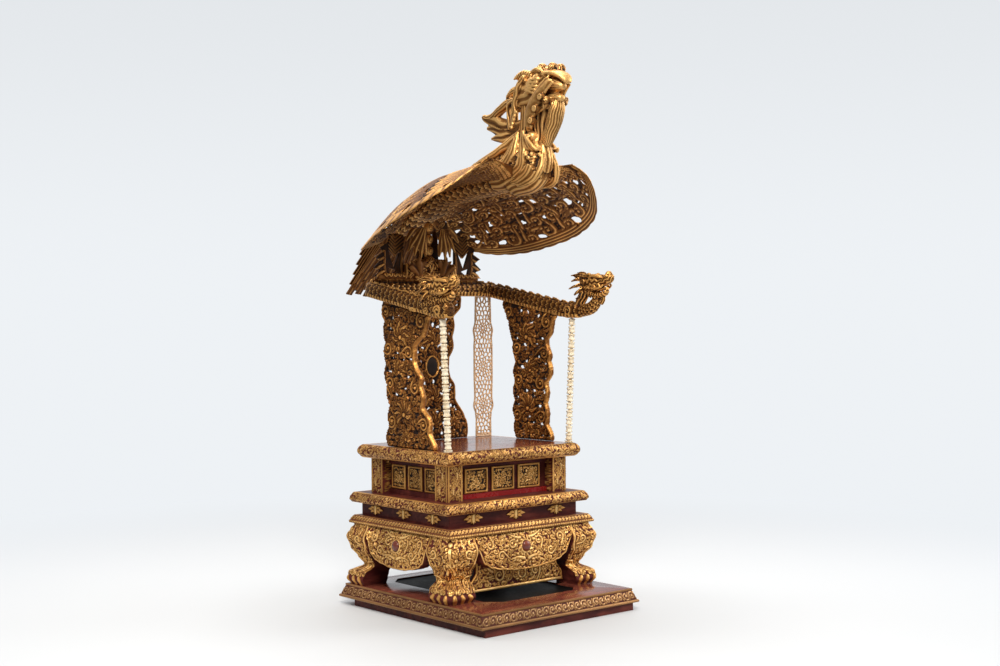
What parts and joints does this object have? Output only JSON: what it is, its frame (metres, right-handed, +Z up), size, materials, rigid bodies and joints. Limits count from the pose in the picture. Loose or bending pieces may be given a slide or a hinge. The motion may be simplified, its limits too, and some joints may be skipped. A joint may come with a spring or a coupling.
{
  "type": "throne altar",
  "caption": "Carved and gilt wooden throne altar: a tiered, footed stand with a seat, pierced boards, dragon arms and a spread bird as canopy.",
  "frame": {"origin": "on the ground under the middle of the seat, in the underside of the plinth base", "axes": "+Z up, -Y towards the front of the seat, +X towards the sitter's left hand"},
  "size_m": [0.4762, 0.5795, 1.0081],
  "materials": {
    "bright_gold_leaf": "carved wood, bright gold leaf on dark maroon lacquer, worn on the high points",
    "antique_gilding": "carved wood, brown antique gilding with worn highlights",
    "dark_maroon_lacquer": "dark maroon lacquer, satin",
    "red_brown_lacquer": "red-brown lacquer, glossy, with a crack line",
    "black_lacquer": "black lacquer, glossy",
    "bone": "turned bone, semi-matt",
    "pale_wood": "pale bare wood, matt"
  },
  "bodies": {
    "root": {"back_apron": "bright_gold_leaf", "back_board": "antique_gilding", "back_crest": "antique_gilding", "back_left_box_post": "bright_gold_leaf", "back_left_leg": "bright_gold_leaf", "back_right_box_post": "bright_gold_leaf", "back_right_leg": "bright_gold_leaf", "bird": "antique_gilding", "box_core": "dark_maroon_lacquer", "front_apron": "bright_gold_leaf", "front_bat_1": "bright_gold_leaf", "front_bat_2": "bright_gold_leaf", "front_bat_3": "bright_gold_leaf", "front_box_panel_1": "bright_gold_leaf", "front_box_panel_2": "bright_gold_leaf", "front_box_panel_3": "bright_gold_leaf", "front_left_box_post": "bright_gold_leaf", "front_left_leg": "bright_gold_leaf", "front_right_box_post": "bright_gold_leaf", "front_right_leg": "bright_gold_leaf", "left_apron": "bright_gold_leaf", "left_bat_1": "bright_gold_leaf", "left_bat_2": "bright_gold_leaf", "left_bat_3": "bright_gold_leaf", "left_bone_post": "bone", "left_box_panel_1": "bright_gold_leaf", "left_box_panel_2": "bright_gold_leaf", "left_box_panel_3": "bright_gold_leaf", "left_dragon_arm": "antique_gilding", "left_side_board": "antique_gilding", "left_wing": "antique_gilding", "lower_front_panel": "bright_gold_leaf", "plinth_base": "dark_maroon_lacquer", "plinth_frame": "bright_gold_leaf", "plinth_panel": "black_lacquer", "right_apron": "bright_gold_leaf", "right_bat_1": "bright_gold_leaf", "right_bat_2": "bright_gold_leaf", "right_bat_3": "bright_gold_leaf", "right_bone_post": "bone", "right_box_panel_1": "bright_gold_leaf", "right_box_panel_2": "bright_gold_leaf", "right_box_panel_3": "bright_gold_leaf", "right_dragon_arm": "antique_gilding", "right_side_board": "antique_gilding", "right_splat": "pale_wood", "right_wing": "antique_gilding", "seat": "red_brown_lacquer", "shelf": "bright_gold_leaf", "stand_top": "bright_gold_leaf", "tail": "antique_gilding", "waist": "dark_maroon_lacquer"}
  },
  "joints": []
}
